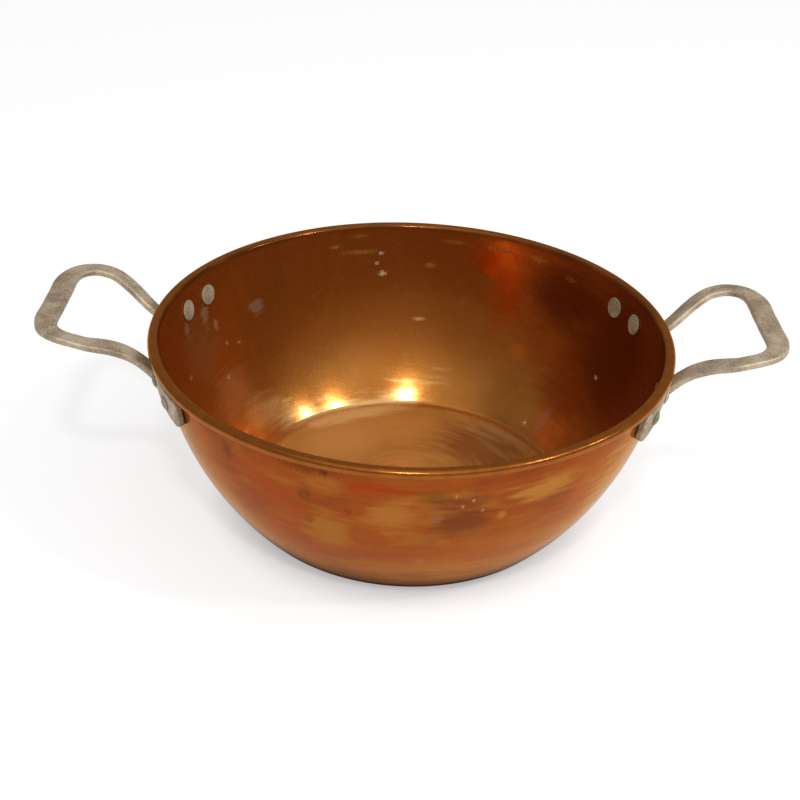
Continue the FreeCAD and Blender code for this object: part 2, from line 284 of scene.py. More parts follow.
INNER_STAINS_AND_PAINTED_LIGHT = (
    # Painted shade: large dark patches on the right wall, which faces away from the lamps.
    StainOrPaintedLight(20, 74, 60, 56, "#5E280E", 0.8, ragged=0.2),
    StainOrPaintedLight(44, 92, 32, 27, "#5C260A", 0.8, ragged=0.3),
    StainOrPaintedLight(31.5, 34, 28, 18, "#8A4A20", 0.7, ragged=0.5),
    # Painted light: a brighter haze of the lamps on the lower left and the left wall.
    StainOrPaintedLight(149.6, 17, 25, 11, "#E8B068", 0.8, ragged=0.6),
    StainOrPaintedLight(156.6, 36, 24, 17, "#C89058", 0.6, ragged=0.6),
    StainOrPaintedLight(163, 74, 24, 24, "#B07840", 0.6, ragged=0.6),
    # Painted reflection: a red-orange streak up the back right wall.
    StainOrPaintedLight(69, 100, 16, 12, "#C44A08", 0.8),
    StainOrPaintedLight(67, 92, 7, 5, "#E06410", 0.6),
    StainOrPaintedLight(61.6, 76, 13, 26, "#B44A0C", 0.7),
    StainOrPaintedLight(54, 45.5, 7, 7, "#D0701C", 0.6),
    # Painted glint: a small pale amber dash on the back wall.
    StainOrPaintedLight(87.1, 53.6, 4.6, 1.5, "#F0B070", 0.9),
    StainOrPaintedLight(111, 106, 4.6, 1.6, "#B8863C", 0.9, dull=0.3),
    StainOrPaintedLight(104.2, 100.7, 14, 1.9, "#B4803A", 0.8, dull=0.3),
    StainOrPaintedLight(104.2, 112.5, 7.5, 1.9, "#B07A34", 0.7, dull=0.3),
    StainOrPaintedLight(84.8, 91.2, 4.4, 2, "#BC7E30", 0.8, dull=0.3),
    StainOrPaintedLight(78.4, 109.7, 9, 1.6, "#B07830", 0.7, dull=0.3),
    StainOrPaintedLight(65.9, 110, 11, 1.6, "#B48040", 0.7, dull=0.3),
    StainOrPaintedLight(54.1, 110.4, 8, 2.2, "#B07830", 0.7, dull=0.3),
    StainOrPaintedLight(43.6, 104, 5.3, 2.1, "#A8702C", 0.6, dull=0.3),
    StainOrPaintedLight(98.1, 84.7, 3.4, 2, "#DCC49A", 0.9, dull=0.4),
    StainOrPaintedLight(99.5, 92, 1.7, 1.7, "#CDB48C", 0.9, dull=0.4),
    StainOrPaintedLight(98.4, 99.2, 2.4, 1.3, "#D0BCA0", 0.9, dull=0.4),
    StainOrPaintedLight(136.9, 78.2, 6, 6, "#A89078", 0.6, dull=0.3),
    StainOrPaintedLight(152.9, 80.4, 2.4, 4.4, "#BCA06C", 0.7, dull=0.4),
    StainOrPaintedLight(150.9, 65.6, 2, 1.8, "#C0A074", 0.7, dull=0.4),
    StainOrPaintedLight(146.4, 61.8, 1.9, 1.5, "#C0A074", 0.7, dull=0.4),
    StainOrPaintedLight(155.4, 46.7, 2.3, 1.6, "#C8AC80", 0.8, dull=0.4),
    StainOrPaintedLight(172.3, 66.6, 3, 1.7, "#B89C70", 0.7, dull=0.4),
    StainOrPaintedLight(40.6, 8, 1.8, 1.6, "#E0C894", 0.9, dull=0.4),
    StainOrPaintedLight(23.6, 55.4, 2.2, 1.6, "#E0C894", 0.9, dull=0.4),
    StainOrPaintedLight(34.1, 15, 4.3, 11, "#BC8468", 0.5, dull=0.1),
    StainOrPaintedLight(156.2, 91, 4.6, 8, "#A89468", 0.75, dull=0.4),
    StainOrPaintedLight(165.9, 92, 4.2, 6, "#A89468", 0.7, dull=0.4),
    # Painted shade: the flat base darker on the right, away from the lamps' highlights.
    StainOrPaintedLight(40, 1.5, 44, 34, "#8C5228", 0.8, ragged=0.5, radius=72),
    # Painted light: the flat base brighter at the back and back left, round the lamps' highlights.
    StainOrPaintedLight(132, 1.5, 32, 26, "#DCA05A", 0.75, ragged=0.6, radius=70),
    StainOrPaintedLight(114, 1.5, 58, 12, "#F4C684", 0.75, ragged=0.9, radius=96),
    StainOrPaintedLight(95, 1.5, 30, 18, "#D8984E", 0.5, radius=70),
    StainOrPaintedLight(45, 1.5, 24, 5, "#C0A070", 0.45, radius=94),
    StainOrPaintedLight(52, 1.5, 22, 3, "#C0A070", 0.4, radius=84),
    StainOrPaintedLight(36, 1.5, 20, 3, "#B89868", 0.4, radius=76),
)


@dataclass(frozen=True)
class Patina:
    """What age has made of one face of the copper.

    Attributes:
        deep: Hex colour of the brownest metal.
        middle: Hex colour of most of the metal.
        light: Hex colour of the brightest metal.
        upper: Hex colour that the metal turns to towards the rim.
        blooms: Hex colours of the broad patches that heat has brought out, up to three.
        wiped: Share of long wiped streaks in the mix of the first three.
        mottled: Share of small patches in that mix.
        polish: Roughness of the metal between the scratches.
        scratched: Roughness where fine scratches cross it.
        stains_and_painted_light: Its marks: stains, and on the inside also patches of painted light and
            shade.
    """

    deep: str
    middle: str
    light: str
    upper: str
    blooms: tuple[str, ...]
    wiped: float
    mottled: float
    polish: float
    scratched: float
    stains_and_painted_light: tuple[StainOrPaintedLight, ...]


@dataclass(frozen=True)
class Grain:
    """The noises that the copper's colours and masks are mixed from.

    Attributes:
        clouds: Broad noise.
        mottle: Noise of a few millimetres.
        wiped: Long streaks round the bowl.
        blooms: Three broad noises, as the channels of a colour.
        scratches: Fine, short streaks.
        breaks: What breaks up the edges of large stains.
        fine_breaks: What breaks up the edges of small ones.
    """

    clouds: Socket
    mottle: Socket
    wiped: Socket
    blooms: Socket
    scratches: Socket
    breaks: Socket
    fine_breaks: Socket


@dataclass(frozen=True)
class SpunCopper:
    """Copper sheet, spun and polished, then aged by heat, wiping and acid fruit.

    The polish gives sharp warm reflections; the fine lines round the bowl are what the spinning tool and
    years of wiping left, and they draw the reflections out. Heat turned patches orange, brown and tan,
    drops of water left rings, and scouring has dulled the flat base inside. Shade is painted into the
    crease of the rolled rim, and a dark band of painted shade runs round the foot of the wall. Inside,
    some patches are painted light and shade: darker on the right wall and base, a brighter haze on the
    left wall and base round the highlights, a red reflection and a glint.
    """

    name: str = "aged_spun_copper"
    outside: Patina = Patina(
        deep="#76300C",
        middle="#A04C16",
        light="#B86E30",
        upper="#9C4610",
        blooms=("#A8692A", "#A4380A", "#74341A"),
        wiped=1.0,
        mottled=0.3,
        polish=0.16,
        scratched=0.34,
        stains_and_painted_light=OUTER_STAINS,
    )
    inside: Patina = Patina(
        deep="#AC6A2A",
        middle="#BA7632",
        light="#C4823E",
        upper="#A6581C",
        blooms=(),
        wiped=0.15,
        mottled=0.1,
        polish=0.14,
        scratched=0.28,
        stains_and_painted_light=INNER_STAINS_AND_PAINTED_LIGHT,
    )
    glancing: str = "#FFD69A"
    metal_share: float = 0.7
    blend_half: float = 0.25
    upper_edge: Pair = (12 * MM, 55 * MM)
    upper_share: float = 0.8
    scoured: str = "#D0944C"
    scoured_dark: str = "#BC823E"
    scoured_roughness: float = 0.2
    scoured_metal_share: float = 0.35
    scoured_ragged: float = 0.3
    scoured_edge: Pair = (0.15, 1.15)
    scoured_share: float = 0.9
    swirl_edge: Pair = (0.35, 0.65)
    # Painted shade: dark brown round the foot of the outer wall, for the shadowed floor that it would
    # reflect.
    painted_foot_shade: str = "#501E06"
    painted_foot_shade_edge: Pair = (4.8 * MM, 8 * MM)
    painted_foot_shade_share: float = 0.9
    painted_foot_shade_roughness: float = 0.3
    rim_brown: str = "#8C4E1E"
    rim_edge: Pair = (0.4, 0.58)
    rim_shares: Pair = (0.3, 0.75)
    # Painted shade: dark brown in the crease of the rim's inner shoulder.
    crease_painted_shade: str = "#40200C"
    crease_shade_edge: Pair = (0.4, 0.6)
    crease_shade_shares: Pair = (0.3, 0.75)
    cloud_size: float = 46 * MM
    mottle_size: float = 7 * MM
    bloom_length: float = 42 * MM
    bloom_pitch: float = 15 * MM
    bloom_edge: Pair = (0.52, 0.66)
    bloom_share: float = 0.45
    wipe_length: float = 65 * MM
    wipe_pitch: float = 2.6 * MM
    line_length: float = 60 * MM
    line_pitch: float = 0.9 * MM
    line_depth: float = 0.003 * MM
    line_strength: float = 0.35
    scratch_length: float = 2 * MM
    scratch_pitch: float = 0.16 * MM
    scratch_edge: Pair = (0.42, 0.66)
    break_length: float = 20 * MM
    break_size: float = 4 * MM
    fine_break_size: float = 1.3 * MM
    stain_or_light_edge: Pair = (0.3, 1.25)
    ring_edge: Pair = (0.3, 0.75)

    def material(self) -> bpy.types.Material:
        """Build the material.

        Returns:
            The material, which reads the bowl's along, inner, floor, rim and crease_shade attributes.
        """
        made = bpy.data.materials.new(self.name)
        nodes = Nodes(made)
        along, inner, floor, rim, crease_shade = (
            nodes.add("Attribute", {"attribute_name": name}, output="Fac")
            for name in ("along", "inner", "floor", "rim", "crease_shade")
        )
        grain = Grain(
            clouds=even_noise(nodes, self.cloud_size, 4),
            mottle=even_noise(nodes, self.mottle_size, 4),
            wiped=self.drawn_noise(nodes, along, self.wipe_length, self.wipe_pitch),
            blooms=self.drawn_noise(nodes, along, self.bloom_length, self.bloom_pitch, 1),
            scratches=self.drawn_noise(nodes, along, self.scratch_length, self.scratch_pitch),
            breaks=self.drawn_noise(nodes, along, self.break_length, self.break_size),
            fine_breaks=even_noise(nodes, self.fine_break_size, 2),
        )
        lines = self.drawn_noise(nodes, along, self.line_length, self.line_pitch)
        scoured = nodes.add("Math", MULTIPLY_ADD, {0: grain.mottle, 1: self.scoured_ragged, 2: floor})
        scoured = nodes.add("MapRange", inputs=mapped(scoured, self.scoured_edge, (0, self.scoured_share)))
        swirls = nodes.add("MapRange", inputs=mapped(grain.breaks, self.swirl_edge))
        base = nodes.add(
            "Mix", COLOURS, {"Factor": swirls, 6: linear(self.scoured_dark), 7: linear(self.scoured)}, 2
        )
        layers = [(scoured, base)]
        # The rim's layer is its own brown; the crease's layer is painted shade on the rim's inner shoulder.
        for where, broken, edge, shares, brown_or_painted_shade in (
            (rim, grain.mottle, self.rim_edge, self.rim_shares, self.rim_brown),
            (crease_shade, grain.clouds, self.crease_shade_edge, self.crease_shade_shares, self.crease_painted_shade),
        ):
            share = nodes.add("MapRange", inputs=mapped(broken, edge, shares))
            mask = nodes.add("Math", MULTIPLY, {0: share, 1: where})
            layers.append((mask, linear(brown_or_painted_shade)))
        outer_colour, outer_roughness = self.face(nodes, self.outside, grain, [])
        inner_colour, inner_roughness = self.face(nodes, self.inside, grain, layers)
        # Painted shade: the outer wall goes dark towards the base, and rougher.
        height = nodes.add("SeparateXYZ", None, {0: nodes.place}, 2)
        foot_shade = nodes.add("MapRange", inputs=mapped(height, self.painted_foot_shade_edge, (self.painted_foot_shade_share, 0)))
        outer_colour = nodes.add(
            "Mix", COLOURS, {"Factor": foot_shade, 6: outer_colour, 7: linear(self.painted_foot_shade)}, 2
        )
        outer_roughness = nodes.add(
            "Math", MULTIPLY_ADD, {0: foot_shade, 1: self.painted_foot_shade_roughness, 2: outer_roughness}
        )
        inner_roughness = nodes.add(
            "Math", MULTIPLY_ADD, {0: scoured, 1: self.scoured_roughness, 2: inner_roughness}
        )
        colour = nodes.add("Mix", COLOURS, {"Factor": inner, 6: outer_colour, 7: inner_colour}, 2)
        roughness = nodes.add("Mix", NUMBERS, {"Factor": inner, 2: outer_roughness, 3: inner_roughness})
        dulled = nodes.add("Math", MULTIPLY, {0: scoured, 1: inner})
        metal = nodes.add(
            "Mix", NUMBERS, {"Factor": dulled, 2: self.metal_share, 3: self.scoured_metal_share}
        )
        bump = nodes.add(
            "Bump", inputs={"Strength": self.line_strength, "Distance": self.line_depth, "Height": lines}
        )
        shader = nodes.add(
            "BsdfPrincipled",
            inputs={
                "Base Color": colour,
                "Metallic": metal,
                "Roughness": roughness,
                "Specular Tint": linear(self.glancing),
                "Normal": bump,
            },
        )
        nodes.add("OutputMaterial", inputs={"Surface": shader})
        return made

    def drawn_noise(
        self, nodes: Nodes, along: Socket, length: float, pitch: float, output: int = 0
    ) -> Socket:
        """Add noise that is drawn out round the bowl.

        Args:
            nodes: The material's nodes.
            along: Distance along the section.
            length: Feature size round the bowl.
            pitch: Feature size along the section.
            output: 0 for one noise or 1 for three, as a colour.

        Returns:
            The noise, from 0 to 1.
        """
        flat = nodes.add("VectorMath", MULTIPLY, {0: nodes.place, 1: (1 / length, 1 / length, 0)})
        across = nodes.add("Math", MULTIPLY, {0: along, 1: 1 / pitch})
        level = nodes.add("CombineXYZ", inputs={2: across})
        spot = nodes.add("VectorMath", {"operation": "ADD"}, {0: flat, 1: level})
        return nodes.add("TexNoise", inputs={"Vector": spot, "Scale": 1.0, "Detail": 4.0}, output=output)

    def face(
        self, nodes: Nodes, patina: Patina, grain: Grain, layers: list[tuple]
    ) -> tuple[Socket, Socket]:
        """Mix the colour and the roughness of one face.

        Args:
            nodes: The material's nodes.
            patina: What age has made of the face.
            grain: The noises.
            layers: Mask and colour of each layer that lies on the ground colour, under the marks.

        Returns:
            The colour and the roughness.
        """
        colour = self.ground(nodes, patina, grain)
        layers = list(layers)
        channels = nodes.add("SeparateColor", inputs={0: grain.blooms}).node.outputs
        for channel, bloom in zip(channels, patina.blooms):
            mask = nodes.add("MapRange", SMOOTH, mapped(channel, self.bloom_edge, (0, self.bloom_share)))
            layers.append((mask, linear(bloom)))
        for mask, over in layers:
            colour = nodes.add("Mix", COLOURS, {"Factor": mask, 6: colour, 7: over}, 2)
        roughness = nodes.add(
            "MapRange", inputs=mapped(grain.scratches, self.scratch_edge, (patina.polish, patina.scratched))
        )
        for stain_or_light in patina.stains_and_painted_light:
            large = min(stain_or_light.wide, stain_or_light.high) * MM > self.break_size
            mask = self.mask(nodes, grain.breaks if large else grain.fine_breaks, stain_or_light)
            colour = nodes.add("Mix", COLOURS, {"Factor": mask, 6: colour, 7: linear(stain_or_light.colour)}, 2)
            if stain_or_light.dull:
                roughness = nodes.add("Math", MULTIPLY_ADD, {0: mask, 1: stain_or_light.dull, 2: roughness})
        return colour, roughness

    def ground(self, nodes: Nodes, patina: Patina, grain: Grain) -> Socket:
        """Mix the ground colour of a face.

        Args:
            nodes: The material's nodes.
            patina: What age has made of the face.
            grain: The noises.

        Returns:
            The colour.
        """
        blend = grain.clouds
        for part, share in ((grain.mottle, patina.mottled), (grain.wiped, patina.wiped)):
            blend = nodes.add("Math", MULTIPLY_ADD, {0: part, 1: share, 2: blend})
        middle = 0.5 * (1 + patina.mottled + patina.wiped)
        edge = (middle - self.blend_half, middle + self.blend_half)
        blend = nodes.add("MapRange", inputs=mapped(blend, edge))
        ramp = nodes.add("ValToRGB", inputs={0: blend})
        elements = ramp.node.color_ramp.elements
        elements.new(0.5)
        for element, colour in zip(elements, (patina.deep, patina.middle, patina.light)):
            element.color = linear(colour)
        height = nodes.add("SeparateXYZ", None, {0: nodes.place}, 2)
        upper = nodes.add("MapRange", SMOOTH, mapped(height, self.upper_edge, (0, self.upper_share)))
        return nodes.add("Mix", COLOURS, {"Factor": upper, 6: ramp, 7: linear(patina.upper)}, 2)

    def mask(self, nodes: Nodes, broken: Socket, stain_or_light: StainOrPaintedLight) -> Socket:
        """Add the mask of one stain or patch of painted light or shade: distance from its middle, broken up
        by noise.

        Args:
            nodes: The material's nodes.
            broken: The noise that breaks up its edge.
            stain_or_light: The stain or patch of painted light or shade.

        Returns:
            The mask, from 0 to the stain's strength.
        """
        on_base = stain_or_light.radius is not None
        level, wide, high = stain_or_light.level * MM, stain_or_light.wide * MM, stain_or_light.high * MM
        radius = stain_or_light.radius * MM if on_base else SpunBowl.wall_radius_at(level)
        deep = 3 * max(wide, high)
        turn = math.radians(stain_or_light.angle)
        spot = nodes.add(
            "Mapping",
            {"vector_type": "TEXTURE"},
            {
                "Vector": nodes.place,
                "Location": (radius * math.cos(turn), radius * math.sin(turn), level),
                "Rotation": (0, 0, turn),
                "Scale": (high, wide, deep) if on_base else (deep, wide, high),
            },
        )
        distance = nodes.add("VectorMath", {"operation": "LENGTH"}, {0: spot}, "Value")
        uneven = nodes.add("Math", MULTIPLY_ADD, {0: broken, 1: 2 * stain_or_light.ragged, 2: distance})
        edge = (self.stain_or_light_edge[0] + stain_or_light.ragged, self.stain_or_light_edge[1] + stain_or_light.ragged)
        soft = nodes.add("MapRange", SMOOTH, mapped(uneven, edge, (stain_or_light.strength, 0)))
        if not stain_or_light.hollow:
            return soft
        ring = nodes.add("MapRange", SMOOTH, mapped(distance, self.ring_edge, (1 - stain_or_light.hollow, 1)))
        return nodes.add("Math", MULTIPLY, {0: soft, 1: ring})


@dataclass(frozen=True)
class WornAluminium:
    """Aluminium, sand cast and dressed by hand, gone dull and beige with handling.

    The skin left by the sand scatters the light into a soft sheen with a fine grain, and hands and
    cloths have worn its edges smoother and brighter. Grime has gathered near the bowl.
    """

    name: str = "worn_cast_aluminium"
    ground: str = "#CAB496"
    dark: str = "#A48E74"
    pale: str = "#DECDB4"
    bright_edge: str = "#E4DDD2"
    grime: str = "#8A7A45"
    metal_share: float = 0.5
    patch_size: float = 14 * MM
    grain_size: float = 0.8 * MM
    grain_share: float = 1.0
    blend_edge: Pair = (0.6, 1.4)
    stops: tuple[float, float, float] = (0.3, 0.5, 0.75)
    worn_edge: Pair = (0.5, 1.0)
    worn_share: float = 0.35
    roughness: float = 0.48
    edge_roughness: float = 0.36
    patch_roughness: float = 0.12
    grain_depth: float = 0.05 * MM
    grain_strength: float = 0.4
    grime_reach: Pair = (153 * MM, 166 * MM)
    grime_size: float = 4 * MM
    grime_edge: Pair = (0.42, 0.62)
    grime_share: float = 0.75

    def material(self) -> bpy.types.Material:
        """Build the material.

        Returns:
            The material, which reads the piece's edge attribute.
        """
        made = bpy.data.materials.new(self.name)
        nodes = Nodes(made)
        edge = nodes.add("Attribute", {"attribute_name": "edge"}, output="Fac")
        patches = even_noise(nodes, self.patch_size, 4.0)
        grain = even_noise(nodes, self.grain_size, 3.0)
        blend = nodes.add("Math", MULTIPLY_ADD, {0: grain, 1: self.grain_share, 2: patches})
        blend = nodes.add("MapRange", inputs=mapped(blend, self.blend_edge))
        ramp = nodes.add("ValToRGB", inputs={0: blend})
        elements = ramp.node.color_ramp.elements
        elements.new(self.stops[-1])
        for element, stop, colour in zip(elements, self.stops, (self.dark, self.ground, self.pale)):
            element.position = stop
            element.color = linear(colour)
        worn = nodes.add("MapRange", inputs=mapped(edge, self.worn_edge, (0, self.worn_share)))
        flat = nodes.add("VectorMath", MULTIPLY, {0: nodes.place, 1: (1, 1, 0)})
        radius = nodes.add("VectorMath", {"operation": "LENGTH"}, {0: flat}, "Value")
        near = nodes.add("MapRange", inputs=mapped(radius, self.grime_reach, (self.grime_share, 0)))
        spots = even_noise(nodes, self.grime_size, 4.0)
        spots = nodes.add("MapRange", inputs=mapped(spots, self.grime_edge))
        grimy = nodes.add("Math", MULTIPLY, {0: near, 1: spots})
        colour = ramp
        for mask, over in ((worn, self.bright_edge), (grimy, self.grime)):
            colour = nodes.add("Mix", COLOURS, {"Factor": mask, 6: colour, 7: linear(over)}, 2)
        roughness = nodes.add("Mix", NUMBERS, {"Factor": worn, 2: self.roughness, 3: self.edge_roughness})
        roughness = nodes.add("Math", MULTIPLY_ADD, {0: patches, 1: self.patch_roughness, 2: roughness})
        bump = nodes.add(
            "Bump", inputs={"Strength": self.grain_strength, "Distance": self.grain_depth, "Height": grain}
        )
        shader = nodes.add(
            "BsdfPrincipled",
            inputs={
                "Base Color": colour,
                "Metallic": self.metal_share,
                "Roughness": roughness,
                "Normal": bump,
            },
        )
        nodes.add("OutputMaterial", inputs={"Surface": shader})
        return made


@dataclass(frozen=True)
class SectionPoint:
    """One point of the bowl's section.

    Attributes:
        radius: Distance from the axis.
        height: Height above the base.
        along: Distance along the face of the sheet from the axis.
        inner: 1 on the inner face and the rolled rim and 0 on the outer face.
        floor: 1 on the flat base.
        rim: 1 on the rolled rim.
        crease_shade: 1 on the rim's inner shoulder, fading to both sides.
    """

    radius: float
    height: float
    along: float
    inner: float
    floor: float
    # crease_shade: 1 on the rim's inner shoulder, where shade is painted, fading to both sides.
    rim: float
    crease_shade: float


@dataclass
class SpunBowl:
    """The bowl: one copper sheet, spun, with its edge rolled outward over itself.

    The sizes down to the seam's gap are those of the solid bowl. The others are steps of the mesh, then
    wear: how far the bowl is out of true clear of the handles (whose reach is in degrees), its ripple, and
    the places of the scouring and of the crease, where shade is painted.
    """

    base_corner_radius: float = 104 * MM
    wall_curve_radius: float = 195 * MM
    sheet: float = 1.5 * MM
    base_bend: float = 6 * MM
    curl_width: float = 7 * MM
    curl_height: float = 5.5 * MM
    curl_seam_gap: float = 0.3 * MM
    turns: int = 320
    base_rings: int = 20
    sharp_angle: float = 50
    out_of_true: float = 0.7 * MM
    out_of_true_at: float = 0.12
    lobe_phase: float = 0.9
    handle_reach: Pair = (38, 56)
    ripple: float = 0.05 * MM
    ripple_size: float = 34 * MM
    ripple_below: Pair = (70 * MM, 84 * MM)
    scour_fade: float = 5 * MM
    crease_half: float = 0.6 * MM
    crease_angle: float = 145
    finish: SpunCopper = field(default_factory=SpunCopper)

    @staticmethod
    def wall_radius_at(height: float) -> float:
        """Find the wall's outer face, to place marks on it.

        Args:
            height: Height above the base.

        Returns:
            The face's distance from the axis there, to a tenth of a millimetre.
        """
        curve, centre_radius, centre_height = 0.195, -0.03998, 0.1315
        return centre_radius + math.sqrt(curve**2 - (height - centre_height) ** 2)

    def arc(
        self, centre: Vector, radius: float, start: float, end: float, steps: int
    ) -> list[Pair]:
        """List the points of an arc in the section.

        Args:
            centre: Its centre, as radius and height.
            radius: Its radius.
            start: First angle in degrees, from outward towards up.
            end: Last angle.
            steps: Number of spans.

        Returns:
            Radius and height of each point.
        """
        points = []
        for step in range(steps + 1):
            angle = math.radians(start + (end - start) * step / steps)
            points.append((centre.x + radius * math.cos(angle), centre.y + radius * math.sin(angle)))
        return points

    def section(self, rim_radius: float, height: float) -> list[SectionPoint]:
        """List the section's points, from the axis under the base, over the rim, to the axis inside.

        Args:
            rim_radius: Outside of the rolled rim.
            height: From the base to the top of the rim.

        Returns:
            The points, with what the material needs to know of each.
        """
        curl = self.curl_height / 2
        bore = curl - self.sheet
        far = Vector((rim_radius - curl, height - curl))
        near = far - Vector((self.curl_width - self.curl_height, 0))
        corner = Vector((self.base_corner_radius, 0))
        span = near - corner
        reach = self.wall_curve_radius - self.sheet + curl
        share = (self.wall_curve_radius**2 - reach**2 + span.length_squared) / (2 * span.length)
        across = math.sqrt(self.wall_curve_radius**2 - share**2)
        unit = span.normalized()
        wall = corner + unit * share + Vector((-unit.y, unit.x)) * across
        top = math.degrees(math.atan2(near.y - wall.y, near.x - wall.x))
        bend_reach = self.wall_curve_radius - self.base_bend
        bend = Vector((wall.x + math.sqrt(bend_reach**2 - (self.base_bend - wall.y) ** 2), self.base_bend))
        foot = math.degrees(math.atan2(bend.y - wall.y, bend.x - wall.x))
        curl_end = -90 - math.degrees(math.asin((bore - self.curl_seam_gap) / curl))
        rings = [bend.x * (step / self.base_rings) for step in range(self.base_rings)]
        outer = [(radius, 0.0) for radius in rings]
        outer += self.arc(bend, self.base_bend, -90, foot, 8)
        outer += self.arc(wall, self.wall_curve_radius, foot, top, 56)[1:]
        rolled = self.arc(near, bore, top + 180, 90, 8)[1:]
        rolled += self.arc(far, bore, 90, -90, 12)
        rolled += self.arc(near, bore, -90, curl_end, 4)
        rolled += self.arc(near, curl, curl_end, -90, 4)
        rolled += self.arc(far, curl, -90, 90, 20)
        rolled += self.arc(near, curl, 90, top + 180, 10)
        inner = self.arc(wall, self.wall_curve_radius - self.sheet, top, foot, 56)[1:]
        inner += self.arc(bend, self.base_bend - self.sheet, foot, -90, 8)[1:]
        inner += [(radius, self.sheet) for radius in reversed(rings)]
        # The rim's inner shoulder, where the crease of painted shade lies.
        turn = math.radians(self.crease_angle)
        shoulder = near + Vector((math.cos(turn), math.sin(turn))) * curl
        scour_edge = (bend.x - self.scour_fade, bend.x + 0.6 * self.scour_fade)
        crease_shade_edge = (self.crease_half, 2.5 * self.crease_half)
        points = []
        distance = 0.0
        last = outer[0]
        for run, side, rim in ((outer, 0.0, 0.0), (rolled, 1.0, 1.0), (inner, 1.0, 0.0)):
            for spot in run:
                distance += math.dist(last, spot)
                last = spot
                floor = 1 - float(smooth_step(*scour_edge, spot[0]))
                crease_shade = 1 - float(smooth_step(*crease_shade_edge, math.dist(shoulder, spot)))
                points.append(SectionPoint(*spot, distance, side, floor, rim, crease_shade))
        return points

    def sag(self, point: SectionPoint, angle: float) -> Vector:
        """Find how far the hand-worn bowl is off its true round at a place.

        Args:
            point: The point of the section.
            angle: Angle round the bowl, in radians.

        Returns:
            Shift towards the axis and upwards. It is 0 where the handles and rivets bear.
        """
        from_handle = abs(math.degrees(math.atan(math.tan(angle))))
        free = float(smooth_step(*self.handle_reach, from_handle))
        lobe = 0.5 + 0.5 * math.sin(2 * angle + self.lobe_phase) * math.cos(3 * angle)
        out = self.out_of_true * lobe * (point.height / self.out_of_true_at) ** 2 * free
        place = Vector((point.radius * math.cos(angle), point.radius * math.sin(angle), point.height))
        wave = 0.5 + 0.5 * noise.noise(place / self.ripple_size)
        clear = max(free, 1 - float(smooth_step(*self.ripple_below, point.height)))
        ripple = self.ripple * wave * clear
        return Vector((out + ripple * (1 - point.floor), ripple * point.floor))

    def build(self) -> bpy.types.Object:
        """Build the bowl's mesh round the solid bowl's box and dress it.

        Returns:
            The finished piece.
        """
        _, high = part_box("bowl")
        section = self.section(high.y, high.z)
        vertices = []
        rings = []
        attributes = {"along": [], "inner": [], "floor": [], "rim": [], "crease_shade": []}
        for point in section:
            count = self.turns if point.radius > ON_AXIS else 1
            rings.append((len(vertices), count))
            for turn in range(count):
                angle = 2 * math.pi * turn / self.turns
                shift = self.sag(point, angle)
                radius = max(point.radius - shift.x, 0.0)
                vertices.append(
                    (radius * math.cos(angle), radius * math.sin(angle), point.height + shift.y)
                )
                for name, values in attributes.items():
                    values.append(getattr(point, name))
        faces = []
        for (first, count), (second, next_count) in zip(rings, rings[1:]):
            for turn in range(self.turns):
                after = (turn + 1) % self.turns
                corners = [first + turn % count, first + after % count]
                corners += [second + after % next_count, second + turn % next_count]
                faces.append(tuple(dict.fromkeys(corners))[::-1])
        mesh = bpy.data.meshes.new("bowl_sheet")
        mesh.from_pydata(vertices, [], faces)
        for name, values in attributes.items():
            mesh.attributes.new(name, "FLOAT", "POINT").data.foreach_set("value", values)
        mesh.polygons.foreach_set("use_smooth", [True] * len(mesh.polygons))
        mesh.set_sharp_from_angle(angle=math.radians(self.sharp_angle))
        mesh.materials.append(self.finish.material())
        piece = placed("bowl_sheet", mesh)
        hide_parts("bowl")
        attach(piece, BODY)
        return piece


